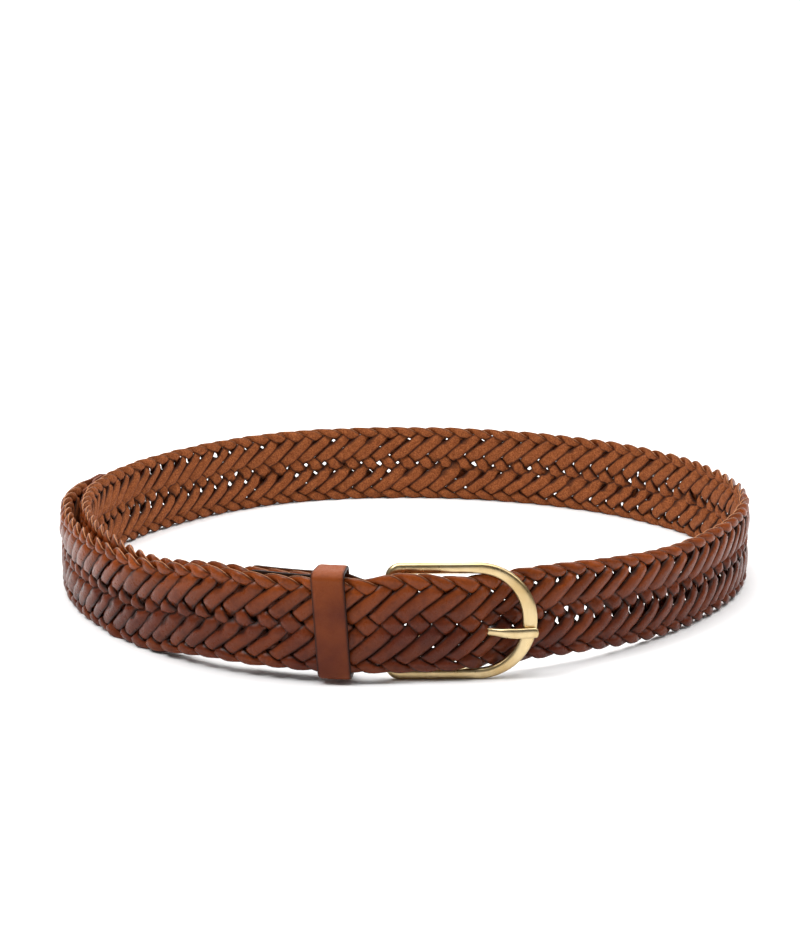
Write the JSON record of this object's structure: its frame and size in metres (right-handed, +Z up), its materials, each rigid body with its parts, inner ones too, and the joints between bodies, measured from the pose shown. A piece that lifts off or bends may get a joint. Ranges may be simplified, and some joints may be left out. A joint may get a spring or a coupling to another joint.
{
  "type": "leather belt",
  "caption": "Braided leather belt, fastened in a standing loop, with a D-shaped brass buckle, prong, folded leather tab and plain keeper.",
  "frame": {"origin": "middle of the bounding box, on the floor plane under the standing loop", "axes": "+Z up across the belt's width, -Y towards the front where the buckle is, +X to the right of someone facing the buckle"},
  "size_m": [0.3022, 0.3111, 0.0454],
  "materials": {
    "thong": "smooth grain outside, suede inside",
    "buckle": "satin, antiqued",
    "keeper": "smooth, dark burnished edges",
    "tab": "smooth, painted edges",
    "tip": "smooth",
    "thread": "waxed thread"
  },
  "bodies": {
    "strap": {"strand_01": "thong", "strand_02": "thong", "strand_03": "thong", "strand_04": "thong", "strand_05": "thong", "strand_06": "thong", "strand_07": "thong", "strand_08": "thong", "strand_09": "thong", "strand_10": "thong", "buckle_tab": "tab", "tab_stitch": "thread", "tip_outer_ply": "tip", "tip_inner_ply": "tip", "tip_stitch": "thread"},
    "frame": {"buckle_frame": "buckle"},
    "prong": {"prong": "buckle"},
    "keeper": {"keeper": "keeper"}
  },
  "joints": [
    {"name": "frame_swing", "type": "hinge", "parent": "strap", "child": "frame", "pos_m": [-0.00633, -0.14612, 0.0227], "axis": [0, 0, -1], "range_deg": [0, 1.5]},
    {"name": "prong_swing", "type": "hinge", "parent": "strap", "child": "prong", "pos_m": [-0.00633, -0.14612, 0.01864], "axis": [0, 0, -1], "range_deg": [0, 1.5]},
    {"name": "keeper_slide", "type": "slide", "parent": "strap", "child": "keeper", "axis": [0.989, -0.1482, 0], "range_m": [-0.004, 0.008]}
  ],
  "couplings": [
    {"joint": "prong_swing", "follows": "frame_swing", "ratio": 1}
  ]
}
